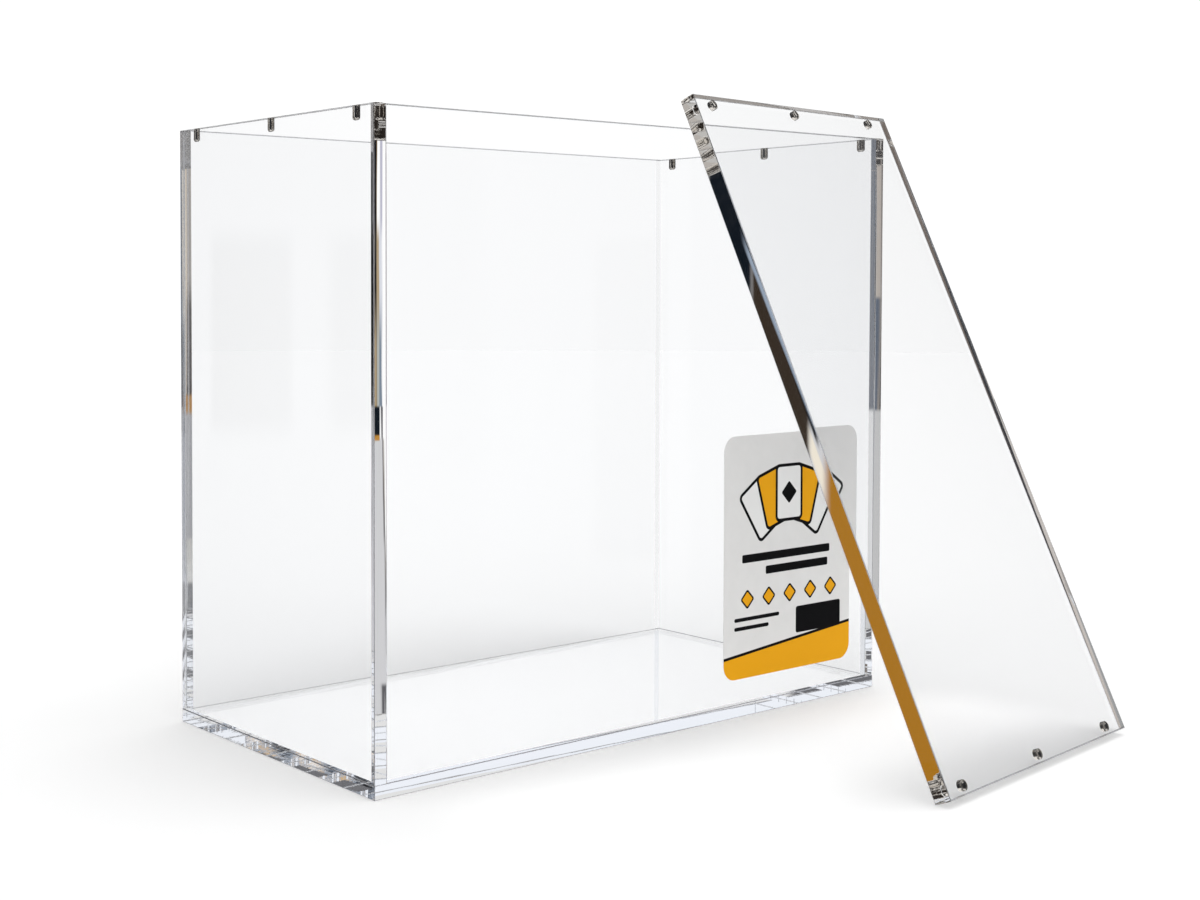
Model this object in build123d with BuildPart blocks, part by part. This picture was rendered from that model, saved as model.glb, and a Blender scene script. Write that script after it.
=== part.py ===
"""Trading card display case: five bonded clear acrylic panels, an open top,
a loose clear lid held by magnets, and a printed label.

Frame: +X along the case, +Y to its back, +Z up. The origin is the middle of
the underside of the base. The lid stands on the same surface and leans on
the case's front right corner, with its mating face towards the case.
"""

from build123d import *
import math
import os

os.makedirs("parts", exist_ok=True)

# ---------------------------------------------------------------- sizes, mm
# Case
case_length = 206.0          # outside, along X
case_width = 103.0           # outside, along Y
case_height = 183.0          # underside of the base to the rim
panel_thickness = 4.0        # the four walls
base_thickness = 4.0

# Lid
lid_thickness = 5.0
lid_overhang = 0.5           # past each outer face of the case
lid_arris = 0.2              # broken edge all round

# Magnets, one size for the rim and the lid
magnet_diameter = 3.0
magnet_length = 4.0
magnet_chamfer = 0.25
magnet_clearance = 0.05      # between magnet and hole, at the radius
magnet_side_inset = 9.2      # front and back magnet axes, from the outer face

# Label on the outside of the front panel
label_width = 60.5
label_height = 76.4
label_thickness = 0.15
label_corner_radius = 5.0
label_right_inset = 12.7     # from the right-hand outer face
label_bottom = 12.0          # above the underside of the base

# How the lid leans
lean_yaw = 6.5               # degrees, the lid's foot turned about Z
lean_foot_distance = 81.6    # foot line to the corner, square to the foot
lean_corner_lap = 1.0        # the lid's side edge, past the corner
lean_gap = 0.3               # mating face to the corner of the rim

# ---------------------------------------------------------- derived values
wall_bottom = base_thickness
wall_height = case_height - base_thickness
inner_length = case_length - 2 * panel_thickness
end_panel_x = case_length / 2 - panel_thickness / 2
long_panel_y = case_width / 2 - panel_thickness / 2
front_face_y = -case_width / 2

lid_length = case_length + 2 * lid_overhang
lid_width = case_width + 2 * lid_overhang

magnet_radius = magnet_diameter / 2
magnet_hole_radius = magnet_radius + magnet_clearance
magnet_row = {
    "front": -(case_width / 2 - magnet_side_inset),
    "middle": 0.0,
    "back": case_width / 2 - magnet_side_inset,
}

# The lid rests on the corner of the rim. When it is too short to reach the
# rim, its top edge rests on the front panel instead.
corner_reach = math.hypot(lean_foot_distance, case_height)
lean_on_rim = math.atan2(lean_foot_distance, case_height) - math.asin(
    lean_gap / corner_reach
)
lean_on_panel = math.asin((lean_foot_distance - lean_gap) / lid_length)
lean = max(lean_on_rim, lean_on_panel)
yaw = math.radians(lean_yaw)

to_case = Vector(-math.sin(yaw), math.cos(yaw), 0)
along_foot = Vector(math.cos(yaw), math.sin(yaw), 0)
up_lid = to_case * math.sin(lean) + Vector(0, 0, math.cos(lean))
out_of_lid = to_case * -math.cos(lean) + Vector(0, 0, math.sin(lean))

rim_corner_plan = Vector(case_length / 2, front_face_y, 0)
foot_middle = (
    rim_corner_plan
    - to_case * lean_foot_distance
    - along_foot * (lid_width / 2 - lean_corner_lap)
)
lid_middle = foot_middle + up_lid * (lid_length / 2)

# Mating face of the lid: local X up the lid, Z out of the lid's other face.
# The second plane is the same face seen from the case, for the blind holes.
mating_plane = Plane(origin=lid_middle, x_dir=up_lid, z_dir=out_of_lid)
drilling_plane = Plane(origin=lid_middle, x_dir=up_lid, z_dir=out_of_lid * -1)

# ------------------------------------------------------------- base panel
with BuildPart() as base_panel:
    with BuildSketch(Plane.XY):
        Rectangle(case_length, case_width)
    extrude(amount=base_thickness)

base_panel.part.label = "base_panel"
export_step(base_panel.part, "parts/base_panel.step")

# ---------------------------------------------- front and back long panels
# They stand on the base, between the two end panels.
with BuildPart() as front_panel:
    with BuildSketch(Plane.XY.offset(wall_bottom)):
        with Locations((0, -long_panel_y)):
            Rectangle(inner_length, panel_thickness)
    extrude(amount=wall_height)

front_panel.part.label = "front_panel"
export_step(front_panel.part, "parts/front_panel.step")

with BuildPart() as back_panel:
    with BuildSketch(Plane.XY.offset(wall_bottom)):
        with Locations((0, long_panel_y)):
            Rectangle(inner_length, panel_thickness)
    extrude(amount=wall_height)

back_panel.part.label = "back_panel"
export_step(back_panel.part, "parts/back_panel.step")

# --------------------------------------------- end panels, drilled at the rim
# They run the full depth of the case. Three blind holes open at the rim.
with BuildPart() as left_end_panel:
    with BuildSketch(Plane.XY.offset(wall_bottom)):
        with Locations((-end_panel_x, 0)):
            Rectangle(panel_thickness, case_width)
    extrude(amount=wall_height)
    with Locations([(-end_panel_x, y, case_height) for y in magnet_row.values()]):
        Hole(magnet_hole_radius, depth=magnet_length)

left_end_panel.part.label = "left_end_panel"
export_step(left_end_panel.part, "parts/left_end_panel.step")

with BuildPart() as right_end_panel:
    with BuildSketch(Plane.XY.offset(wall_bottom)):
        with Locations((end_panel_x, 0)):
            Rectangle(panel_thickness, case_width)
    extrude(amount=wall_height)
    with Locations([(end_panel_x, y, case_height) for y in magnet_row.values()]):
        Hole(magnet_hole_radius, depth=magnet_length)

right_end_panel.part.label = "right_end_panel"
export_step(right_end_panel.part, "parts/right_end_panel.step")

# ------------------------------------------------------ magnets in the rim
# Each stands on the floor of its hole, with its top face level with the rim.
for end, x in (("left", -end_panel_x), ("right", end_panel_x)):
    for place, y in magnet_row.items():
        with BuildPart() as rim_magnet:
            with BuildSketch(Plane.XY.offset(case_height)):
                with Locations((x, y)):
                    Circle(magnet_radius)
            extrude(amount=-magnet_length)
            chamfer(rim_magnet.edges().filter_by(GeomType.CIRCLE), magnet_chamfer)

        name = f"{end}_magnet_{place}"
        rim_magnet.part.label = name
        export_step(rim_magnet.part, f"parts/{name}.step")

# -------------------------------------------------------------------- lid
# A flat sheet with three blind holes along each short edge, which open in
# its mating face over the magnets of the rim.
with BuildPart() as lid_panel:
    with BuildSketch(mating_plane):
        Rectangle(lid_length, lid_width)
    extrude(amount=lid_thickness)
    chamfer(lid_panel.edges(), lid_arris)
    with Locations(drilling_plane):
        with Locations(
            [(x, y, 0) for x in (-end_panel_x, end_panel_x) for y in magnet_row.values()]
        ):
            Hole(magnet_hole_radius, depth=magnet_length)

lid_panel.part.label = "lid_panel"
export_step(lid_panel.part, "parts/lid_panel.step")

# ------------------------------------------------------ magnets in the lid
# Named by the rim magnet that each one meets when the lid is closed.
for end, x in (("left", -end_panel_x), ("right", end_panel_x)):
    for place, y in magnet_row.items():
        with BuildPart() as lid_magnet:
            with BuildSketch(mating_plane):
                with Locations((x, y)):
                    Circle(magnet_radius)
            extrude(amount=magnet_length)
            chamfer(lid_magnet.edges().filter_by(GeomType.CIRCLE), magnet_chamfer)

        name = f"lid_{end}_magnet_{place}"
        lid_magnet.part.label = name
        export_step(lid_magnet.part, f"parts/{name}.step")

# ------------------------------------------------------------------ label
# A printed sheet on the outside of the front panel, near its right end.
label_x = case_length / 2 - label_right_inset - label_width / 2
label_z = label_bottom + label_height / 2

with BuildPart() as label:
    with BuildSketch(Plane.XZ.offset(-front_face_y)):
        with Locations((label_x, label_z)):
            RectangleRounded(label_width, label_height, label_corner_radius)
    extrude(amount=label_thickness)

label.part.label = "label"
export_step(label.part, "parts/label.step")
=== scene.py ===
# %% [markdown]
# # A clear display case for a sealed box of trading cards
#
# The case is five acrylic sheets bonded into an open box, a loose lid that leans
# against it, twelve small magnets that hold the lid when it is closed, and one
# printed label. The measured model comes in as a fixed frame. This lesson keeps its
# sizes and gives it what a measured model lacks: broken and crowned edges, drilled
# holes, nickel, print, and the studio that clear plastic needs around it.

# %% Load the measured model
import math

import bpy
from mathutils import Matrix, Vector


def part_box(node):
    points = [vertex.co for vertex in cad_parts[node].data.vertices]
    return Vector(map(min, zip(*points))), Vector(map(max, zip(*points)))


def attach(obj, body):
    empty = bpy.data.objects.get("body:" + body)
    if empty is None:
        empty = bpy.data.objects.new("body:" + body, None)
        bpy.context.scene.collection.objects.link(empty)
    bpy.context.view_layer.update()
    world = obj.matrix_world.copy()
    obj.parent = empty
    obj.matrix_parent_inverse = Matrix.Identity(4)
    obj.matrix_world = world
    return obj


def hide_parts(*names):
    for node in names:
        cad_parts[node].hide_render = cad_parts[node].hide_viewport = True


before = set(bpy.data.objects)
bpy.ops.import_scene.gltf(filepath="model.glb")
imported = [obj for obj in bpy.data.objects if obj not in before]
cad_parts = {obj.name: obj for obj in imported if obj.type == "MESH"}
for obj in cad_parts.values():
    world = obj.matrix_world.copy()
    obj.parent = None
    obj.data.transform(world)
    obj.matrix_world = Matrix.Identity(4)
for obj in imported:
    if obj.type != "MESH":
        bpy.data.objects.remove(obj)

MM = 0.001
X, Y, Z = Vector((1, 0, 0)), Vector((0, 1, 0)), Vector((0, 0, 1))
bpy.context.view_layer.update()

# %% [markdown]
# ## The camera
#
# The case is looked at across its near corner, from a little below its top, with a
# normal lens. The frame is a little off the lens's axis. A view camera does that by
# shifting its back, and Blender does it with Shift X and Shift Y, which keeps the
# upright edges upright. Depth of field stays off, so every edge is sharp.

# %% Camera
scene = bpy.context.scene
IMAGE_WIDTH, IMAGE_HEIGHT = 1200, 900
FOCAL_PIXELS = 1682.7
AXIS_PIXEL = (449.8, 334.5)
CAMERA_SPOT = Vector((-356.9, -408.9, 135.3)) * MM
CAMERA_YAW, CAMERA_PITCH = math.radians(37.97), math.radians(1.66)

camera_data = bpy.data.cameras.new("studio_camera")
camera = bpy.data.objects.new("studio_camera", camera_data)
scene.collection.objects.link(camera)
scene.camera = camera
camera_data.sensor_width = 36
camera_data.lens = FOCAL_PIXELS / IMAGE_WIDTH * camera_data.sensor_width
camera_data.shift_x = (IMAGE_WIDTH / 2 - AXIS_PIXEL[0]) / IMAGE_WIDTH
camera_data.shift_y = (AXIS_PIXEL[1] - IMAGE_HEIGHT / 2) / IMAGE_WIDTH
camera_data.clip_start = 0.01
looks_along = Vector((
    math.sin(CAMERA_YAW) * math.cos(CAMERA_PITCH),
    math.cos(CAMERA_YAW) * math.cos(CAMERA_PITCH),
    -math.sin(CAMERA_PITCH),
))
camera.location = CAMERA_SPOT
camera.rotation_mode = "QUATERNION"
camera.rotation_quaternion = looks_along.to_track_quat("-Z", "Y")
print("lens, mm:", round(camera_data.lens, 1))

# %% [markdown]
# ## A short way to write nodes
#
# The surroundings, the print and the finishes are all node trees. A small class that
# adds a node, sets its inputs and hands back its output keeps each of them readable.

# %% Node helper


class Tree:
    """A cleared node tree with short ways to add and join nodes."""

    def __init__(self, owner):
        owner.use_nodes = True
        self.tree = owner.node_tree
        self.tree.nodes.clear()

    def add(self, kind, inputs=None, **settings):
        node = self.tree.nodes.new(kind)
        for key, value in settings.items():
            setattr(node, key, value)
        for key, value in (inputs or {}).items():
            self.set(node, key, value)
        return node

    def set(self, node, key, value):
        if isinstance(value, bpy.types.NodeSocket):
            self.tree.links.new(value, node.inputs[key])
        else:
            node.inputs[key].default_value = value

    def math(self, operation, *values):
        node = self.add("ShaderNodeMath", operation=operation)
        for i, value in enumerate(values):
            self.set(node, i, value)
        return node.outputs[0]

    def vector(self, operation, *values, output=0):
        node = self.add("ShaderNodeVectorMath", operation=operation)
        for i, value in enumerate(values):
            self.set(node, i, value)
        return node.outputs[output]

    def scaled(self, vector, factor):
        return self.add("ShaderNodeVectorMath", {0: vector, "Scale": factor}, operation="SCALE").outputs[0]

    def blend(self, factor, under, over):
        node = self.add("ShaderNodeMix", data_type="RGBA")
        self.set(node, 0, factor)
        self.set(node, 6, under if isinstance(under, bpy.types.NodeSocket) else (*under, 1))
        self.set(node, 7, over if isinstance(over, bpy.types.NodeSocket) else (*over, 1))
        return node.outputs[2]

    def step(self, value, low, high):
        node = self.add("ShaderNodeMapRange", interpolation_type="SMOOTHSTEP")
        for i, entry in enumerate((value, low, high)):
            self.set(node, i, entry)
        return node.outputs[0]

    def band(self, value, low, high, soft):
        """One between low and high, zero outside, and soft at both ends."""
        rise = self.step(value, low - soft, low + soft)
        return self.math("MULTIPLY", rise, self.step(value, high + soft, high - soft))

    def noise(self, vector, scale, detail=2.0, roughness=0.5):
        settings = {"Vector": vector, "Scale": scale, "Detail": detail, "Roughness": roughness}
        return self.add("ShaderNodeTexNoise", settings).outputs[0]

    def ramp(self, value, stops):
        node = self.add("ShaderNodeValToRGB", {0: value})
        ramp = node.color_ramp
        ramp.interpolation = "EASE"
        ramp.elements[0].position, ramp.elements[1].position = stops[0][0], stops[-1][0]
        ramp.elements[0].color, ramp.elements[1].color = (*stops[0][1], 1), (*stops[-1][1], 1)
        for position, colour in stops[1:-1]:
            ramp.elements.new(position).color = (*colour, 1)
        return node.outputs[0]

    def end(self, kind, shader):
        self.add(kind, {"Surface": shader.outputs[0]})


def grey(value):
    return (value, value, value)


# %% [markdown]
# ## What clear plastic needs around it
#
# Acrylic has hardly any colour of its own. A face shows what lies behind it, with a
# faint reflection on top, and an edge is a light guide: what goes in there is thrown
# from wall to wall a dozen times or more and comes out looking at a far side of the
# room. In a white room the edges would vanish. A product photographer keeps the
# background white and hangs dark, blue and warm cards all around, out of sight, so
# that each edge is drawn by what it catches.
#
# The world does the same by direction: `turn` is in degrees clockwise from the back
# of the room and `height` in degrees above level. `bounces` counts how often a look
# was reflected on its way, inside the acrylic or on it.

# %% The world's directions
world = bpy.data.worlds.new("studio")
scene.world = world
t = Tree(world)
direction = t.add("ShaderNodeTexCoord").outputs["Generated"]
axes = t.add("ShaderNodeSeparateXYZ", {0: direction}).outputs
turn = t.math("MULTIPLY", t.math("ARCTAN2", axes[0], axes[1]), 180 / math.pi)
height = t.math("MULTIPLY", t.math("ARCSINE", axes[2]), 180 / math.pi)
path = t.add("ShaderNodeLightPath").outputs
bounces = path["Glossy Depth"]


def hang(room, cards):
    """Hangs soft-edged cards: colour, turns, heights, softness of each, and lean in turn per height."""
    room = room if isinstance(room, bpy.types.NodeSocket) else t.blend(0.0, room, room)
    for colour, turns, heights, soft, *lean in cards:
        across = t.math("MULTIPLY_ADD", height, -lean[0], turn) if lean else turn
        shown = t.math("MULTIPLY", t.band(across, *turns, soft[0]), t.band(height, *heights, soft[1]))
        room = t.blend(shown, room, colour)
    return room


def wall_of(colour):
    return t.add("ShaderNodeBackground", {"Color": colour})


def part_off(rest, walls, turns=None, counts=None):
    """Shows other walls to the looks in a range of turns, of bounces, or of both."""
    inside = []
    for value, limits in ((turn, turns), (bounces, counts)):
        if limits:
            inside += [t.math("GREATER_THAN", value, limits[0]), t.math("LESS_THAN", value, limits[1])]
    shown = inside[0]
    for test in inside[1:]:
        shown = t.math("MULTIPLY", shown, test)
    return t.add("ShaderNodeMixShader", {0: shown, 1: rest.outputs[0], 2: walls.outputs[0]})


def stripes(stops, lean=0.0):
    """Upright stripes: colours at turns in degrees, left to right, leaning by turn per height."""
    first, last = stops[0][0], stops[-1][0]
    across = t.math("MULTIPLY_ADD", height, -lean, turn) if lean else turn
    share = t.math("DIVIDE", t.math("SUBTRACT", across, first), last - first)
    return t.ramp(share, [((place - first) / (last - first), colour) for place, colour in stops])


def stacked(walls):
    """Walls from the top down, each with the height at which it gives way to the one above."""
    room = walls[0]
    for below, level, soft in walls[1:]:
        room = t.blend(t.step(height, level + soft, level - soft), room, below)
    return room


ALL_ROUND, TOP, BOTTOM, TABLE_LINE = (-181, 181), 91, -91, -4.1
BLACK, NAVY = (0.008, 0.008, 0.01), (0.005, 0.008, 0.013)
SLATE, STEEL = (0.09, 0.115, 0.16), (0.3, 0.36, 0.45)
AMBER, BRONZE, TAN, CREAM = (0.5, 0.24, 0.04), (0.2, 0.125, 0.055), (0.43, 0.33, 0.2), (0.85, 0.78, 0.66)
EARTH, TAUPE, LILAC, SKY = (0.035, 0.024, 0.016), (0.16, 0.14, 0.12), (0.5, 0.5, 0.6), (0.86, 0.89, 0.95)
WHITE, PALE, DUSK, STONE = grey(1.0), (0.62, 0.62, 0.635), (0.12, 0.12, 0.13), (0.3, 0.27, 0.245)

# %% [markdown]
# The room of the looks that bounced many times is pale above the table line and a
# little lighter below it. Near the foot of the box the light guides flip a look's
# height at every turn, so a bright ceiling and a dark lower wall are what draws the
# ladders of rungs in the corners.

# %% The room all round
far = wall_of(hang(PALE, [
    (grey(0.76), ALL_ROUND, (BOTTOM, TABLE_LINE), (1, 0.08)),
    (SKY, ALL_ROUND, (8, TOP), (1, 0.6)),
    (DUSK, (-54.5, -49.5), (-40, -10.75), (0.2, 0.1)),
    ((0.46, 0.43, 0.4), (-180, 180), (BOTTOM, -20), (1, 1.5)),
    (WHITE, ALL_ROUND, (55, TOP), (1, 6)),
    (BLACK, (92, 127), (1, 27), (3, 1)),
]))

# %% [markdown]
# The near upright edge looks back to the left, into a window frame: black, a warm
# bright gap and a blue curtain, side by side within two degrees.

# %% The wall for the near upright edge
frame_top = stripes([
    (-37.7, BLACK), (-36.8, BLACK), (-36.7, BRONZE), (-36.5, WHITE), (-36.15, WHITE), (-36.0, LILAC),
    (-35.65, LILAC), (-35.5, WHITE),
])
frame_middle = stripes([
    (-37.7, TAUPE), (-37.0, TAUPE), (-36.95, BLACK), (-36.7, BLACK), (-36.6, TAN), (-36.2, TAN),
    (-36.05, (0.7, 0.72, 0.78)), (-35.65, (0.7, 0.72, 0.78)), (-35.5, WHITE),
], -0.03)
frame_foot = stripes([
    (-37.7, BLACK), (-37.2, BLACK), (-37.0, TAN), (-36.7, (0.3, 0.23, 0.15)), (-36.5, (0.45, 0.47, 0.45)),
    (-36.2, (0.4, 0.43, 0.43)), (-36.0, (0.2, 0.25, 0.31)), (-35.65, (0.2, 0.25, 0.31)), (-35.5, WHITE),
], 0.03)
sill = stripes([(-37.7, NAVY), (-36.2, NAVY), (-36.1, WHITE), (-35.8, DUSK), (-35.55, DUSK), (-35.5, WHITE)])
under_sill = stripes([(-37.7, PALE), (-35.85, PALE), (-35.7, DUSK), (-35.5, STONE), (-35.4, WHITE)], -0.02)
near = stacked([frame_top, (frame_middle, 1.9, 0.5), (frame_foot, -1.2, 1.2), (sill, TABLE_LINE, 0.06),
                (under_sill, -5.2, 0.1)])
ceiling = [(SKY, ALL_ROUND, (8, TOP), (1, 0.6))]
near = hang(near, [
    (AMBER, (-38, -36.2), (-5.26, -5.08), (0.05, 0.04)),
    (DUSK, (-36.9, -35.6), (-14.4, -13.4), (0.3, 0.1)),
    *ceiling,
])
far = part_off(far, wall_of(near), turns=(-38.5, -34))

# %% [markdown]
# The left upright edge looks the other way, to the right and towards the front. Its
# inner half arrives after one or two bounces more than its outer half, so each half
# has its own wall: blue and cream outside, tan turning to dark brown inside, with an
# amber strip along the table.

# %% The walls for the left upright edge
TEAL, UMBER, CLAY = (0.03, 0.07, 0.13), (0.045, 0.033, 0.026), (0.5, 0.42, 0.34)
outer = stripes([
    (127, (0.6, 0.62, 0.68)), (139, STEEL), (148, STEEL), (151, (0.72, 0.72, 0.78)), (157, CREAM),
    (166, CREAM), (170, (0.6, 0.56, 0.5)), (182, (0.55, 0.5, 0.45)),
])
outer_low = stripes([
    (127, PALE), (139, SLATE), (148, SLATE), (151, WHITE), (156, TEAL), (166, TEAL), (170, CREAM),
    (182, CREAM),
])
outer = stacked([outer, (outer_low, -1.3, 0.5), ((0.42, 0.45, 0.52), -5, 0.3), (DUSK, -9.9, 0.1)])
inner = stripes([
    (127, CLAY), (145, CREAM), (150, (0.7, 0.6, 0.47)), (155, CLAY), (160, CLAY),
    (165, (0.35, 0.32, 0.3)), (182, (0.35, 0.32, 0.3)),
])
inner_low = stripes([(127, CREAM), (145, CREAM), (150, CLAY), (154, UMBER), (182, UMBER)])
floor_bands = [((0.6, 0.59, 0.57), -8.4, 0.05), (DUSK, -9.9, 0.1)]
inner = stacked([inner, (inner_low, -0.3, 0.7), (AMBER, -3.7, 0.05), ((0.47, 0.47, 0.49), -4.3, 0.1),
                 *floor_bands])
rim = stacked([(0.4, 0.37, 0.34), (UMBER, -0.3, 0.7), (AMBER, -3.7, 0.05), ((0.42, 0.42, 0.44), -4.3, 0.1),
               *floor_bands])
outer, inner, rim = (wall_of(hang(wall, ceiling)) for wall in (outer, inner, rim))
far = part_off(far, outer, turns=(127, 180.1), counts=(12.5, 99))
far = part_off(far, inner, turns=(127, 180.1), counts=(36.5, 37.5))
far = part_off(far, rim, turns=(149.2, 152), counts=(34.5, 36.5))
far = part_off(far, rim, turns=(27, 31), counts=(34.5, 36.5))
outer_back = stripes([(18, STEEL), (35, STEEL), (45, SLATE), (58, (0.5, 0.55, 0.62)), (75, CREAM)])
far = part_off(far, wall_of(hang(outer_back, ceiling)), turns=(18, 75), counts=(36.5, 61.5))
dark_frame = wall_of(hang(BLACK, [(PALE, ALL_ROUND, (BOTTOM, TABLE_LINE), (1, 0.1)), *ceiling]))
for turns, counts in ((ALL_ROUND, (31.5, 34.5)), (ALL_ROUND, (59.5, 99)), ((-61, -55), (16.5, 17.5))):
    far = part_off(far, dark_frame, turns, counts)

# %% [markdown]
# The lid's long edge and the right upright edge both look to the back right. The lid
# needs eight bounces and the upright sixteen, so each is given its own wall: for the
# lid a dark window above and a wooden table top below, which is the gold of the edge.

# %% The walls for the lid's edge and the right upright edge
WOOD, LID_TURN = (0.38, 0.165, 0.012), 0.457
lid_wall = hang(PALE, [
    (NAVY, ALL_ROUND, (0.3, 4.2), (0.5, 0.25)),
    (EARTH, ALL_ROUND, (-4.9, 0.3), (0.5, 0.3)),
    (BLACK, (43, 46.9), (-5.6, 0.3), (0.25, 0.3), -LID_TURN),
    (STEEL, (46.3, 47.3), (-5.4, 0.9), (0.3, 0.5), -0.26),
    (CREAM, (47.5, 49.6), (-6.3, -4.9), (0.3, 0.35), -LID_TURN),
    (WOOD, ALL_ROUND, (-20, -6.4), (0.8, 0.5), -0.1),
    ((0.5, 0.49, 0.47), ALL_ROUND, (BOTTOM, -20), (1, 1.5)),
    *ceiling,
])
far = part_off(far, wall_of(lid_wall), turns=(41, 60), counts=(6.5, 9.5))
post_wall = stripes([
    (50, TAUPE), (50.9, TAUPE), (51.3, (0.5, 0.45, 0.4)), (51.8, (0.42, 0.38, 0.35)),
    (52.1, (0.12, 0.1, 0.09)), (52.5, (0.3, 0.28, 0.27)), (54, (0.3, 0.28, 0.27)),
])
post_low = stripes([(50, SLATE), (51.4, SLATE), (51.8, STONE), (52.1, BLACK), (54, STONE)])
post_wall = stacked([post_wall, (post_low, -0.4, 0.1), (grey(0.56), TABLE_LINE, 0.08)])
far = part_off(far, wall_of(hang(post_wall, ceiling)), turns=(46, 58), counts=(13.5, 19.5))

# %% [markdown]
# The base's left end is a tangle of a dozen bounces. What it shows is small, slanted
# and mixed, so there the room is a fine mosaic of slate, pale and amber.

# %% The wall for the base's left end
slanted = t.add("ShaderNodeCombineXYZ", {0: t.math("MULTIPLY_ADD", height, 0.6, turn), 1: height}).outputs[0]
mosaic = t.ramp(t.noise(slanted, 0.9, 1.0, 0.6), [
    (0.36, BLACK), (0.42, SLATE), (0.46, (0.36, 0.4, 0.46)), (0.53, (0.46, 0.5, 0.58)),
    (0.56, (0.6, 0.36, 0.1)), (0.6, (0.92, 0.92, 0.94)), (0.7, (0.2, 0.21, 0.25)),
])
high_right = t.math("MULTIPLY", t.math("GREATER_THAN", height, 14.5), t.math("GREATER_THAN", turn, 140))
far = t.add("ShaderNodeMixShader", {0: high_right, 1: far.outputs[0], 2: wall_of(mosaic).outputs[0]})

# %% [markdown]
# The room of the looks that bounced once: the faces, the outermost edges and the
# magnets. It is dark all round, which is why small round metal parts look black in
# front of white. Grey screens hang where the faces throw the look, with dark strips in
# them wherever a face lies in front of a magnet. Low looks along the base's floor go to
# the white back of the room.
#
# The lid's right long edge looks to the left. It is a short light guide, so it gets the
# same wall for one reflection and for up to six: taupe, navy, warm grey and mid grey,
# from the top down.

# %% The room for a single reflection
TINT, STRIP, SHADE = (0.3, 0.305, 0.32), (0.03, 0.033, 0.04), (0.03, 0.026, 0.024)
once = wall_of(hang(SHADE, [
    (TINT, (100, 160), (-50, 45), (3, 3)),
    ((0.45, 0.46, 0.48), (-53, -18), (-30, 30), (0.5, 3)),
    (grey(0.34), (100, 160), (-50, -6.5), (3, 3)),
    (grey(1.06), (6, 72), (3, TOP), (2, 1)),
    (STRIP, (140.9, 146), (-6, 8), (0.8, 1.5)),
    (STRIP, (134.6, 137.1), (-9.2, 1.6), (0.15, 0.3)),
    (STRIP, (-32.6, -29.9), (-4.9, 1.7), (0.15, 0.6)),
    (STRIP, (-36, -33.9), (-4.9, 1.7), (0.3, 0.6)),
    (WHITE, (-46.1, -43.7), (-30, 30), (0.1, 1)),
    (STONE, (54, 78), (-40, -22), (3, 3)),
    (WHITE, ALL_ROUND, (60, TOP), (1, 12)),
]))
lid_side = wall_of(stacked([
    (0.17, 0.14, 0.12), (NAVY, 0.6, 1.4), ((0.6, 0.55, 0.51), -5.6, 0.3), (grey(0.32), -12.2, 1.5),
]))
once = part_off(once, lid_side, turns=(-118, -53.2))
far = part_off(far, lid_side, turns=(-118, -53.2), counts=(1.5, 6.5))
post_side = stripes([
    (-52.4, SLATE), (-52.14, SLATE), (-52.11, BLACK), (-52.08, STEEL), (-52.05, SLATE),
    (-52.02, (0.14, 0.17, 0.23)), (-51.99, EARTH), (-51.96, STONE), (-51.9, TINT), (-51, TINT),
])
post_side = stacked([post_side, (grey(0.8), TABLE_LINE, 0.1)])
once = part_off(once, wall_of(post_side), turns=(-53, -51.2))

# %% [markdown]
# The cement round a magnet is the only thing here that Cycles counts as transparent,
# once on the way in and once on the way out, and that tells a look at the nickel from
# any other. For those looks the room is black, with a few bright slots that give the
# round metal its highlights. Where an edge guides the look to a magnet, dark and bright
# walls take turns with the number of bounces, which draws the blocks at the lid's
# corners.

# %% The room for the magnets
SLOT, GLEAM = grey(1.2), (0.8, 0.78, 0.75, 1)
slots = hang(BLACK, [
    (SLOT, (-50, -25), (-12, 12), (3, 3)),
    (SLOT, (108, 124), (24, 48), (2, 2)),
    (SLOT, ALL_ROUND, (BOTTOM, -38), (1, 4)),
    (SLOT, ALL_ROUND, (62, TOP), (1, 5)),
])
guided = wall_of(hang((0.03, 0.025, 0.022), [
    (grey(1.1), ALL_ROUND, (BOTTOM, -40), (1, 3)),
    (grey(1.1), ALL_ROUND, (50, TOP), (1, 3)),
]))
for counts in ((3.5, 5.5), (7.5, 9.5)):
    guided = part_off(guided, wall_of(GLEAM), counts=counts)
cemented = t.math("GREATER_THAN", path["Transparent Depth"], 1.5)
once = t.add("ShaderNodeMixShader", {0: cemented, 1: once.outputs[0], 2: wall_of(slots).outputs[0]})
far = t.add("ShaderNodeMixShader", {0: cemented, 1: far.outputs[0], 2: guided.outputs[0]})

# %% [markdown]
# Everything that is not a look, so the light on the label and the table, comes from an
# even room, a fill from the front that carries the print's colours about as they are
# mixed, and a soft box overhead, a little to the right. The box draws the thin shadow
# line under the lid's foot and the soft ones at the corners. Light Path tells the
# kinds of look apart, and straight ones see white.

# %% Light, and the whole world
BOX_FROM, FILL_FROM = Vector((0.25, 0.05, 0.97)), Vector((-0.45, -0.85, 0.3))
EVEN_LEVEL, FILL_LEVEL, BOX_LEVEL, AFTER_BOUNCE = 0.3, 0.9, 2.4, 0.3
soft_box = t.vector("DOT_PRODUCT", direction, BOX_FROM.normalized(), output=1)
fill = t.vector("DOT_PRODUCT", direction, FILL_FROM.normalized(), output=1)
light = t.math("MULTIPLY_ADD", t.step(fill, -0.3, 0.7), FILL_LEVEL, EVEN_LEVEL)
light = t.math("MULTIPLY_ADD", t.step(soft_box, 0.86, 0.93), BOX_LEVEL, light)
bounced = t.math("GREATER_THAN", bounces, 0.5)
light = t.math("MULTIPLY", light, t.math("MULTIPLY_ADD", bounced, AFTER_BOUNCE - 1, 1))

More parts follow.
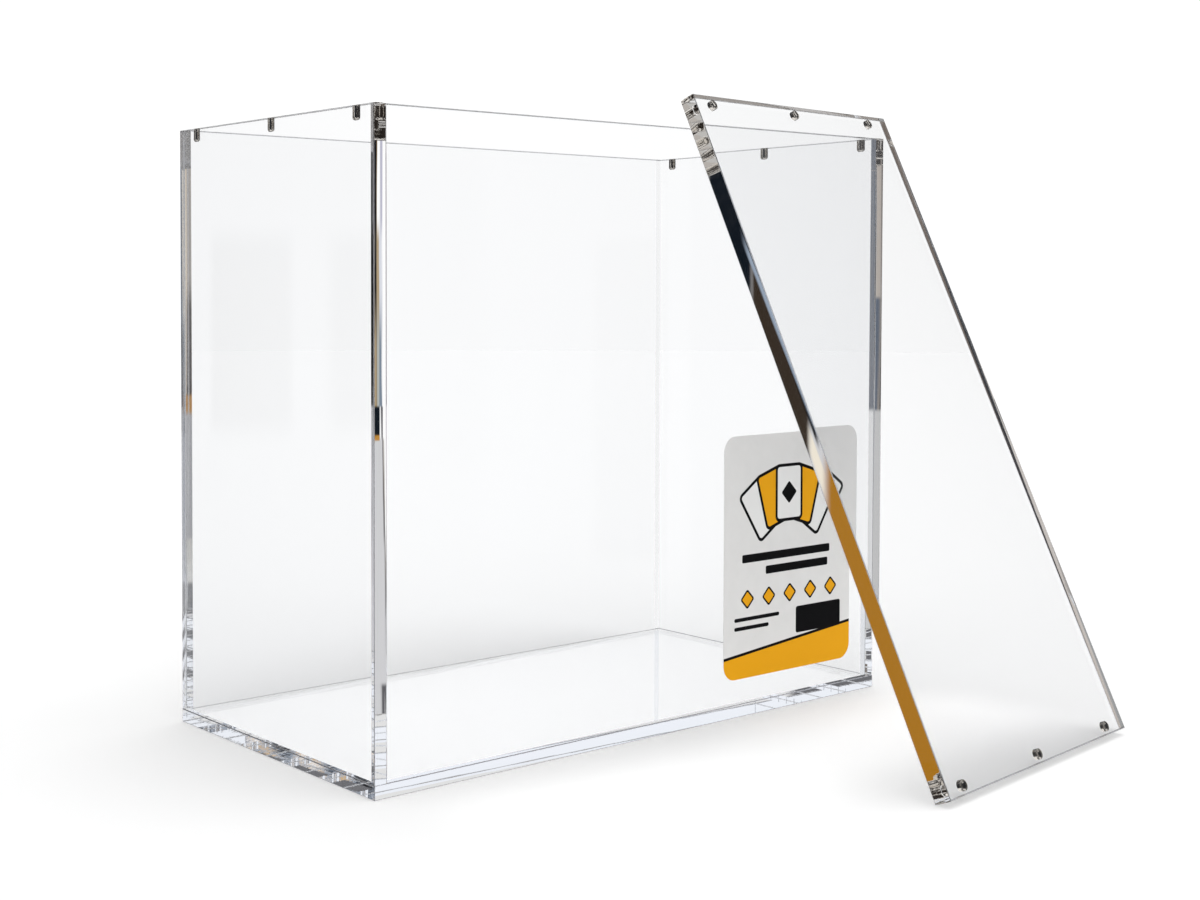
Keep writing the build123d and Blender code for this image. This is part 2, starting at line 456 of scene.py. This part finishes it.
WHITE_LEVEL = grey(1.06)
room = part_off(wall_of(hang(WHITE_LEVEL, [])), once, counts=(0.5, 1.5))
room = part_off(room, far, counts=(1.5, 99))
looking = t.math("MAXIMUM", path["Is Camera Ray"], path["Is Transmission Ray"])
looking = t.math("MAXIMUM", looking, path["Is Glossy Ray"])
looking = t.math("MULTIPLY", looking, t.math("LESS_THAN", path["Diffuse Depth"], 0.5))
lights = t.add("ShaderNodeBackground", {"Color": (1, 1, 1, 1), "Strength": light})
whole_room = t.add("ShaderNodeMixShader", {0: looking, 1: lights.outputs[0], 2: room.outputs[0]})
t.end("ShaderNodeOutputWorld", whole_room)

scene.view_settings.view_transform = "Standard"
scene.cycles.max_bounces = 160
scene.cycles.glossy_bounces = 64
scene.cycles.transmission_bounces = 96
scene.cycles.transparent_max_bounces = 32
print("cards and lights hung:", len(world.node_tree.nodes), "nodes")

# %% [markdown]
# ## The table
#
# A white table top that runs out of sight. Part of its white is its own glow, which
# keeps it as bright as the background, and the rest answers to the light, so that the
# shadows stay faint. Under the box and the lid the glow is stronger, to make up for the
# light that the clear sheets keep from the table there. It steps aside for looks that
# were already reflected, because what they should see is hung in the world, by
# direction.

# %% Table
TABLE_RADIUS, TABLE_LEVEL = 3, -0.1 * MM
bpy.ops.object.select_all(action="DESELECT")
bpy.ops.mesh.primitive_circle_add(vertices=96, radius=TABLE_RADIUS, fill_type="NGON",
                                  location=(0, 0, TABLE_LEVEL))
table_top = bpy.context.active_object
table_top.name = "table_top"

table_paint = bpy.data.materials.new("white_table")
table_top.data.materials.append(table_paint)
t = Tree(table_paint)
place = t.add("ShaderNodeSeparateXYZ", {0: t.add("ShaderNodeTexCoord").outputs["Object"]}).outputs
GLOW, PAINT, UNDER_CASE_GLOW, UNDER_LID_GLOW = 0.405, 0.55, 0.82, 0.6
# Each stretch in metres, across and then along: from, to, and how soft its ends are.
UNDER_CASE = ((-0.102, 0.102, 0.001), (-0.051, 0.051, 0.001))
UNDER_LID = ((-0.09, 0.11, 0.02), (-0.12, -0.07, 0.02))
under_case, under_lid = (t.math("MULTIPLY", t.band(place[0], *across), t.band(place[1], *along))
                         for across, along in (UNDER_CASE, UNDER_LID))
glow_level = t.blend(under_lid, grey(GLOW), grey(UNDER_LID_GLOW))
glow_level = t.blend(under_case, glow_level, grey(UNDER_CASE_GLOW))
paint = t.add("ShaderNodeBsdfDiffuse", {"Color": (*grey(PAINT), 1)})
glow = t.add("ShaderNodeEmission", {"Color": glow_level})
both = t.add("ShaderNodeAddShader", {0: paint.outputs[0], 1: glow.outputs[0]})
reflected = t.math("GREATER_THAN", t.add("ShaderNodeLightPath").outputs["Glossy Depth"], 0.5)
aside = t.add("ShaderNodeBsdfTransparent").outputs[0]
t.end("ShaderNodeOutputMaterial", t.add("ShaderNodeMixShader", {0: reflected, 1: both.outputs[0], 2: aside}))
print("table top, m across:", round(table_top.dimensions.x, 2))

# %% [markdown]
# ## Acrylic finishes
#
# Cast acrylic is glass-clear with an index of refraction of 1.49. Each real face mirrors
# about four percent of the light that meets it straight on. A dark Specular Tint takes
# most of that away, so that the magnets stay dark behind the sheets, and leaves the
# slanted reflections and the light guides whole. The faces swallow a trace of the light,
# so that clear walls stand out from the white behind them. Five finishes tell a sheet's
# surfaces apart:
#
# - `clear_face` is the cast surface. It is flat to the eye, but a few thousandths of a
#   millimetre of slow waviness remain, and a light guide adds them up.
# - `polished_edge` was sawn and then flame polished. Fine lines still run along it.
# - `scraped_arris` is the narrow flat that a scraper leaves where it breaks a corner. It
#   stays a little rough, so it scatters. Its grey tint is painted shade: it draws the thin
#   outline of every sheet and the fine line where a wall meets the base.
# - `bonded_joint` is where the solvent has made two sheets one. There is no surface any
#   more, so it bends nothing: it is a refraction with an index of exactly 1.
# - `clear_cement` fills the gap round a magnet and lets everything through as well. It
#   is a plain transparent surface, so that the world can count it.

# %% Acrylic
ACRYLIC_IOR = 1.49
SHEEN = 0.15             # what is left of the straight-on reflection
# The grey given to the scraped arris is painted shade, a tint that draws every sheet's outline.
FACE_TRACE, ARRIS_PAINTED_SHADE = (0.965, 0.968, 0.972), (0.48, 0.49, 0.52)


def acrylic(name, relief=None, roughness=0.0, colour=(1, 1, 1)):
    """Clear acrylic. Relief gives the surface's height, from 0 to 1, and its depth in metres."""
    material = bpy.data.materials.new(name)
    t = Tree(material)
    inputs = {"Base Color": (*colour, 1), "Roughness": roughness, "IOR": ACRYLIC_IOR,
              "Transmission Weight": 1.0, "Specular Tint": (*grey(SHEEN), 1)}
    if relief:
        surface, depth = relief(t)
        bump = t.add("ShaderNodeBump", {"Strength": 1.0, "Distance": depth, "Height": surface})
        inputs["Normal"] = bump.outputs[0]
    t.end("ShaderNodeOutputMaterial", t.add("ShaderNodeBsdfPrincipled", inputs))
    return material


def cast_waves(t):
    return t.noise(t.add("ShaderNodeTexCoord").outputs["Object"], 14.0, 1.0), 4e-6


def polishing_lines(t):
    run = t.add("ShaderNodeUVMap", uv_map="edge_run").outputs[0]
    return t.noise(t.vector("MULTIPLY", run, (9, 1500, 1)), 1.0, 2.0), 2.2e-6


def scraper_marks(t):
    return t.noise(t.add("ShaderNodeTexCoord").outputs["Object"], 2500.0, 2.0), 8e-6


clear_face = acrylic("clear_face", cast_waves, colour=FACE_TRACE)
polished_edge = acrylic("polished_edge", polishing_lines)
scraped_arris = acrylic("scraped_arris", scraper_marks, 0.35, ARRIS_PAINTED_SHADE)
bonded_joint = bpy.data.materials.new("bonded_joint")
t = Tree(bonded_joint)
straight_on = t.add("ShaderNodeBsdfRefraction", {"Color": (1, 1, 1, 1), "Roughness": 0.0, "IOR": 1.0})
t.end("ShaderNodeOutputMaterial", straight_on)
clear_cement = bpy.data.materials.new("clear_cement")
t = Tree(clear_cement)
t.end("ShaderNodeOutputMaterial", t.add("ShaderNodeBsdfTransparent"))
FACE, EDGE, JOINT, CEMENT, BROKEN = range(5)
finishes = (clear_face, polished_edge, bonded_joint, clear_cement, scraped_arris)
print("finishes:", [finish.name for finish in finishes])

# %% [markdown]
# ## From a block to a sheet
#
# Every sheet starts as a cube at the sheet's size and place. Edges and points are
# picked in code by where they are, because there is no mouse here to click them.

# %% Picking helpers
TINY = 0.001 * MM


def only(piece):
    """Makes one piece the active and only selected object, in object mode."""
    if bpy.context.object and bpy.context.object.mode != "OBJECT":
        bpy.ops.object.mode_set(mode="OBJECT")
    bpy.ops.object.select_all(action="DESELECT")
    if piece:
        piece.select_set(True)
        bpy.context.view_layer.objects.active = piece


def pick(piece, kind, test):
    """Selects the points, edges or faces that pass the test, and goes into edit mode."""
    only(piece)
    bpy.ops.object.mode_set(mode="EDIT")
    bpy.ops.mesh.select_mode(type=kind)
    bpy.ops.mesh.select_all(action="DESELECT")
    bpy.ops.object.mode_set(mode="OBJECT")
    mesh = piece.data
    for part in {"VERT": mesh.vertices, "EDGE": mesh.edges, "FACE": mesh.polygons}[kind]:
        if kind == "EDGE":
            part.select = test(*(mesh.vertices[i].co for i in part.vertices))
        else:
            part.select = test(part)
    bpy.ops.object.mode_set(mode="EDIT")


def sheet(name, low, high):
    """A sheet between two corners, with its place in its mesh."""
    only(None)
    low, high = Vector(low), Vector(high)
    bpy.ops.mesh.primitive_cube_add(size=1, location=(low + high) / 2)
    piece = bpy.context.active_object
    piece.name = name
    piece.scale = high - low
    bpy.ops.object.transform_apply(location=True, rotation=True, scale=True)
    return piece


# %% [markdown]
# Flame polishing melts the skin of an edge and its surface tension pulls it into a very
# low crown, a few hundredths of a millimetre high. That curve is why the colours in an
# edge lie in stripes. The edge is divided across its thickness, and each row of points
# is drawn back along a parabola. The sharp corners are then broken by a narrow arris.

# %% Edge helpers
CROWN = 0.06 * MM
CUTS = 7
ARRIS, FINE_ARRIS = 0.2 * MM, 0.13 * MM


def crown_edges(piece, thin, sides):
    """Gives the outer edges that face the given ways a low crown across the thin direction."""
    pick(piece, "EDGE", lambda a, b: abs((a - b).dot(thin)) > TINY)
    bpy.ops.mesh.subdivide(number_cuts=CUTS)
    bpy.ops.object.mode_set(mode="OBJECT")
    spots = [point.co.copy() for point in piece.data.vertices]
    low, high = min(spot.dot(thin) for spot in spots), max(spot.dot(thin) for spot in spots)
    for side in sides:
        reach = max(spot.dot(side) for spot in spots)
        for row in range(CUTS + 2):
            share = row / (CUTS + 1)
            level = low + (high - low) * share
            pick(piece, "VERT", lambda point: abs(point.co.dot(thin) - level) < TINY
                 and spots[point.index].dot(side) > reach - TINY)
            bpy.ops.transform.translate(value=side * -CROWN * (2 * share - 1) ** 2)
    bpy.ops.object.mode_set(mode="OBJECT")


def break_edges(piece, test, width=ARRIS):
    pick(piece, "EDGE", test)
    bpy.ops.mesh.bevel(offset=width, segments=2, profile=0.5, affect="EDGES")
    bpy.ops.object.mode_set(mode="OBJECT")


# %% [markdown]
# The magnets sit in blind holes. A cylinder a little wider than a magnet is the drill
# bit, and a Boolean modifier cuts with it, as the drill does.

# %% Drilling
MAGNET_LENGTH = 4 * MM
HOLE_DIAMETER = 3.1 * MM
HOLE_DEPTH = 4.05 * MM
BIT_ROUNDING = 0.85 * MM


def hole_mouths(magnets, along):
    """The middle of each magnet's outer end, and the way its hole opens."""
    boxes = [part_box(name) for name in magnets]
    return [((low + high) / 2 + along * (MAGNET_LENGTH / 2), along) for low, high in boxes]


def drill(piece, holes):
    for spot, along in holes:
        only(None)
        bpy.ops.mesh.primitive_cylinder_add(
            vertices=48, radius=HOLE_DIAMETER / 2, depth=HOLE_DEPTH * 2, location=spot,
            rotation=along.to_track_quat("Z", "Y").to_euler())
        bit = bpy.context.active_object
        pick(bit, "EDGE", lambda a, b: max(a.z, b.z) < TINY - HOLE_DEPTH)
        bpy.ops.mesh.bevel(offset=BIT_ROUNDING, segments=5, profile=0.5, affect="EDGES")
        only(piece)
        cut = piece.modifiers.new("hole", "BOOLEAN")
        cut.operation, cut.solver, cut.object = "DIFFERENCE", "EXACT", bit
        bpy.ops.object.modifier_apply(modifier="hole")
        bpy.data.objects.remove(bit)
    only(piece)


def in_hole(middle, holes):
    for spot, along in holes:
        away = middle - spot
        deep = -away.dot(along)
        across = away + along * deep
        if across.length < HOLE_DIAMETER * 0.51 and TINY < deep < HOLE_DEPTH * 1.01:
            return True
    return False


# %% [markdown]
# Each surface then gets its finish, and the edges a UV map named `edge_run`, with the
# way along the edge in U and across it in V, for the polishing lines to follow. Smooth
# shading up to twelve degrees rounds the crown and leaves the corners crisp.

# %% Finishing
SMOOTH_ANGLE = math.radians(12)


def finish(piece, thin, joint=None, holes=(), square=(X, Y, Z)):
    mesh = piece.data
    for material in finishes:
        mesh.materials.append(material)
    run = mesh.uv_layers.new(name="edge_run").data
    for face in mesh.polygons:
        face.material_index = FACE if abs(face.normal.dot(thin)) > 0.999 else EDGE
        if max(abs(face.normal.dot(way)) for way in square) < 0.95:
            face.material_index = BROKEN
        if joint and joint(face):
            face.material_index = JOINT
        if in_hole(face.center, holes):
            face.material_index = CEMENT
        along = thin.cross(face.normal)
        along = along.normalized() if along.length > 0.01 else thin.orthogonal().normalized()
        for corner in face.loop_indices:
            spot = mesh.vertices[mesh.loops[corner].vertex_index].co
            run[corner].uv = (spot.dot(along), spot.dot(thin))
    only(piece)
    bpy.ops.object.shade_smooth_by_angle(angle=SMOOTH_ANGLE)
    counts = [sum(face.material_index == slot for face in mesh.polygons) for slot in range(len(finishes))]
    print(piece.name, "faces:", dict(zip(("face", "edge", "joint", "cement", "arris"), counts)))


def hand_in(piece, body, node):
    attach(piece, body)
    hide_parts(node)


# %% [markdown]
# ## The base
#
# The base is one sheet that the four walls stand on. The ring under the walls is a
# joint, so the top face is inset by one wall's thickness to part it from the clear floor.

# %% Base
WALL = 4 * MM
base_low, base_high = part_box("base_panel")
base = sheet("base_sheet", base_low, base_high)
pick(base, "FACE", lambda face: face.normal.z > 0.9)
bpy.ops.mesh.inset(thickness=WALL)
at_end = lambda point: abs(point.x) > base_high.x - TINY
break_edges(base, lambda a, b: abs(a.z - b.z) > TINY or max(a.z, b.z) < TINY or at_end(a) and at_end(b))
break_edges(base, lambda a, b: min(a.z, b.z) > base_high.z - TINY and abs(a.x - b.x) > WALL
            and min(abs(a.y), abs(b.y)) > base_high.y - TINY, FINE_ARRIS)
floor_x, floor_y = base_high.x - WALL - TINY, base_high.y - WALL - TINY
under_walls = lambda middle: abs(middle.x) > floor_x or abs(middle.y) > floor_y
finish(base, Z, lambda face: face.normal.z > 0.99 and under_walls(face.center))
hand_in(base, "case", "base_panel")

# %% [markdown]
# ## The long walls
#
# The front and back stand between the two ends. Two glass faces in exactly one place
# come out black in a render, so a seam of a few hundredths of a millimetre is left where
# they meet, which is about what a butt joint between cut edges keeps anyway. The front
# wall keeps the same small distance from the label's back.

# %% Front and back
SEAM = 0.03 * MM
for side in ("front", "back"):
    low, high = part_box(f"{side}_panel")
    low.x, high.x = low.x + SEAM, high.x - SEAM
    low.y += SEAM if side == "front" else 0
    wall = sheet(f"{side}_sheet", low, high)
    crown_edges(wall, Y, [Z])
    outer = low.y if side == "front" else high.y
    along_face = lambda a, b: abs(a.x - b.x) > TINY and min(abs(a.y - low.y), abs(a.y - high.y)) < TINY
    at_foot = lambda a, b: abs(a.y - outer) < TINY and max(a.z, b.z) < low.z + TINY
    break_edges(wall, lambda a, b: along_face(a, b) and min(a.z, b.z) > low.z + TINY)
    break_edges(wall, lambda a, b: along_face(a, b) and at_foot(a, b), FINE_ARRIS)
    finish(wall, Y, lambda face: face.normal.z < -0.99)
    hand_in(wall, "case", f"{side}_panel")

# %% [markdown]
# ## The end walls
#
# The ends cover the long walls' cut edges, so their own edges show on the front, back
# and top. Each has three blind holes in its top edge for the lid's magnets.

# %% Ends
for side in ("left", "right"):
    low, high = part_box(f"{side}_end_panel")
    wall = sheet(f"{side}_end_sheet", low, high)
    crown_edges(wall, X, [Z, Y, -Y])
    inner = high.x if side == "left" else low.x
    at_face = lambda a, b: abs(a.x - b.x) < TINY and min(abs(a.x - low.x), abs(a.x - high.x)) < TINY
    at_foot = lambda a, b: max(a.z, b.z) < low.z + TINY
    at_side = lambda a, b: abs(a.y - b.y) < TINY and abs(a.y) > high.y - CROWN - TINY
    break_edges(wall, lambda a, b: at_face(a, b) and (abs(a.x - inner) > TINY or not at_foot(a, b))
                or at_foot(a, b) and at_side(a, b))
    holes = hole_mouths([f"{side}_magnet_{place}" for place in ("front", "middle", "back")], Z)
    drill(wall, holes)
    finish(wall, X, lambda face: face.normal.z < -0.99 and face.center.z < low.z + TINY, holes)
    hand_in(wall, "case", f"{side}_end_panel")

# %% [markdown]
# ## The lid
#
# The lid is a sixth sheet, a little thicker and half a millimetre proud of the walls.
# It leans against the front wall, so it is built flat, where its edges are easy to
# pick, and turned into its leaning place at the end. The two rows of magnets give the
# direction up the lid.

# %% Lid
LID_YAW = math.radians(6.5)
along_foot = Vector((math.cos(LID_YAW), math.sin(LID_YAW), 0))
row_spots = [sum(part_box(f"lid_{side}_magnet_front"), Vector()) / 2 for side in ("left", "right")]
up_lid = (row_spots[1] - row_spots[0]).normalized()
up_lid = up_lid if up_lid.z > 0 else -up_lid
out_of_lid = along_foot.cross(up_lid)
lean = math.degrees(math.acos(up_lid.z))
print("the lid leans back by", round(lean, 2), "degrees")

lid_points = [point.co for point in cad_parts["lid_panel"].data.vertices]
spans = [[end(point.dot(way) for point in lid_points) for end in (min, max)]
         for way in (along_foot, up_lid, out_of_lid)]
lid = sheet("lid_sheet", [span[0] for span in spans], [span[1] for span in spans])
crown_edges(lid, Z, [X, -X, Y, -Y])
break_edges(lid, lambda a, b: min(abs(a.z - level) for level in spans[2]) < TINY and abs(a.z - b.z) < TINY)
only(lid)
lid.rotation_mode = "QUATERNION"
lid.rotation_quaternion = Matrix((along_foot, up_lid, out_of_lid)).transposed().to_quaternion()
bpy.ops.object.transform_apply(location=True, rotation=True, scale=True)
holes = hole_mouths([f"lid_{side}_magnet_{place}" for side in ("left", "right")
                     for place in ("front", "middle", "back")], -out_of_lid)
drill(lid, holes)
finish(lid, out_of_lid, None, holes, (along_foot, up_lid, out_of_lid))
hand_in(lid, "lid", "lid_panel")

# %% [markdown]
# ## The magnets
#
# Small neodymium rods, plated with nickel. One is turned, with a narrow chamfer on the
# end that faces its partner and a well rounded end at the bottom of the hole, and the
# other eleven are copies of it. The plating is bright, and handling has dulled it in
# patches.

# %% Nickel
nickel = bpy.data.materials.new("nickel_plate")
t = Tree(nickel)
spot = t.add("ShaderNodeTexCoord").outputs["Object"]
handled = t.noise(spot, 900.0, 3.0, 0.6)
brushed = t.noise(spot, 5200.0, 2.0)
t.end("ShaderNodeOutputMaterial", t.add("ShaderNodeBsdfPrincipled", {
    "Metallic": 1.0,
    "Base Color": t.blend(handled, (0.56, 0.52, 0.47), (0.8, 0.77, 0.73)),
    "Roughness": t.math("MULTIPLY_ADD", handled, 0.08, 0.02),
    "Normal": t.add("ShaderNodeBump", {"Distance": 8e-7, "Height": brushed}).outputs[0],
}))

# %% Magnets
MAGNET_RADIUS, CHAMFER, ROUNDED_END = 1.5 * MM, 0.25 * MM, 0.8 * MM
MAGNET_SMOOTH_ANGLE = math.radians(25)
only(None)
bpy.ops.mesh.primitive_cylinder_add(vertices=48, radius=MAGNET_RADIUS, depth=MAGNET_LENGTH)
rod = bpy.context.active_object
for end, width, rounds in ((1, CHAMFER, 1), (-1, ROUNDED_END, 6)):
    rim = end * MAGNET_LENGTH / 2
    pick(rod, "EDGE", lambda a, b: max(abs(a.z - rim), abs(b.z - rim)) < TINY)
    bpy.ops.mesh.bevel(offset=width, segments=rounds, profile=0.5, affect="EDGES")
only(rod)
bpy.ops.object.shade_smooth_by_angle(angle=MAGNET_SMOOTH_ANGLE)
rod.data.materials.append(nickel)
print("one magnet, mm:", [round(side / MM, 2) for side in rod.dimensions], len(rod.data.polygons), "faces")

magnets = [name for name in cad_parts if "magnet" in name]
for name in magnets:
    only(rod)
    bpy.ops.object.duplicate()
    magnet = bpy.context.active_object
    magnet.name = name.replace("magnet", "rod")
    on_lid = name.startswith("lid")
    magnet.location = sum(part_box(name), Vector()) / 2
    if on_lid:
        magnet.rotation_euler = (-out_of_lid).to_track_quat("Z", "Y").to_euler()
    bpy.ops.object.transform_apply(location=True, rotation=True, scale=True)
    hand_in(magnet, "lid" if on_lid else "case", name)
bpy.data.objects.remove(rod)
print("magnets:", len(magnets))

# %% [markdown]
# ## The label
#
# A printed vinyl label on the outside of the front wall. Its shape is right in the
# measured model, so it only needs its print: a pale ground, an amber foot under a black
# line, a fan of blank playing cards, and a few plain bars and diamonds. Each mark is a
# rounded oblong, worked out from the distance to its outline, so it stays sharp at any
# size. The back of the vinyl is plain.

# %% Print helpers
INK, PRINT_AMBER, VINYL = (0.006, 0.006, 0.007), (0.85, 0.39, 0.008), (0.78, 0.775, 0.765)
CARD_WHITE = (0.84, 0.84, 0.83)
label_low, label_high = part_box("label")
label_print = bpy.data.materials.new("label_print")
t = Tree(label_print)
spot = t.add("ShaderNodeTexCoord").outputs["Object"]
on_label = t.scaled(t.vector("SUBTRACT", spot, (label_low + label_high) / 2), 1 / MM)
on_label = t.vector("MULTIPLY", on_label, (1, 0, 1))
INK_EDGE = 0.05


def oblong(across, up, wide, high, corner, turned=0.0):
    """One inside a rounded oblong and zero outside. Sizes and places are in millimetres."""
    local = t.vector("SUBTRACT", on_label, (across, 0, up))
    if turned:
        settings = {"Vector": local, "Angle": math.radians(-turned)}
        local = t.add("ShaderNodeVectorRotate", settings, rotation_type="Y_AXIS").outputs[0]
    past = t.vector("SUBTRACT", t.vector("ABSOLUTE", local), (wide / 2 - corner, 0, high / 2 - corner))
    past = t.vector("LENGTH", t.vector("MAXIMUM", past, (0, 0, 0)), output=1)
    return t.step(past, corner + INK_EDGE, corner - INK_EDGE)


# %% Layout of the print
FAN_STEP, FAN_RADIUS, FAN_HUB = 17, 24, -5
marks = []
for place in (-2, 2, -1, 1, 0):
    angle = place * FAN_STEP
    across = FAN_RADIUS * math.sin(math.radians(angle))
    up = FAN_HUB + FAN_RADIUS * math.cos(math.radians(angle))
    marks.append((INK, across, up, 13.0, 18.5, 1.9, angle))
    marks.append((PRINT_AMBER if place % 2 else CARD_WHITE, across, up, 11.0, 16.5, 1.0, angle))
marks.append((INK, 0, 19, 5.2, 5.2, 0.6, 45))
marks += [(INK, -1, -0.6, 42, 2.6, 0.5), (INK, 4, -5.0, 30, 2.6, 0.5)]
for across in (-19.5, -9.5, 0.5, 10.5, 20.5):
    marks.append((INK, across, -13.4, 4.6, 4.6, 0.8, 45))
    marks.append((PRINT_AMBER, across, -13.4, 3.4, 3.4, 0.4, 45))
marks += [(INK, -15, -19.6, 21, 1.2, 0.6), (INK, -17.5, -22.4, 16, 1.2, 0.6)]
marks.append((INK, 14.5, -22.6, 22, 8.6, 0.8))
print("marks on the label:", len(marks))

# %% Label
MOTTLE = 0.035
FOOT_SLOPE, FOOT_LEVEL, FOOT_LINE = 0.09, -28.2, 0.9
ground = t.noise(spot, 240.0, 3.0)
ink = t.blend(ground, [c * (1 - MOTTLE) for c in VINYL], [c * (1 + MOTTLE) for c in VINYL])
parts = t.add("ShaderNodeSeparateXYZ", {0: on_label}).outputs
below_foot = t.math("SUBTRACT", t.math("MULTIPLY_ADD", parts[0], FOOT_SLOPE, FOOT_LEVEL), parts[2])
ink = t.blend(t.step(below_foot, -INK_EDGE, INK_EDGE), ink, INK)
ink = t.blend(t.step(below_foot, FOOT_LINE - INK_EDGE, FOOT_LINE + INK_EDGE), ink, PRINT_AMBER)
for colour, *shape in marks:
    ink = t.blend(oblong(*shape), ink, colour)
facing = t.add("ShaderNodeSeparateXYZ", {0: t.add("ShaderNodeNewGeometry").outputs["True Normal"]}).outputs[1]
ink = t.blend(t.math("LESS_THAN", facing, -0.5), CARD_WHITE, ink)
grain = t.noise(spot, 3200.0, 2.0)
t.end("ShaderNodeOutputMaterial", t.add("ShaderNodeBsdfPrincipled", {
    "Base Color": ink,
    "Roughness": t.math("MULTIPLY_ADD", ground, 0.12, 0.44),
    "Specular IOR Level": 0.06,
    "Normal": t.add("ShaderNodeBump", {"Distance": 3e-6, "Height": grain}).outputs[0],
}))
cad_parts["label"].material_slots[0].material = label_print
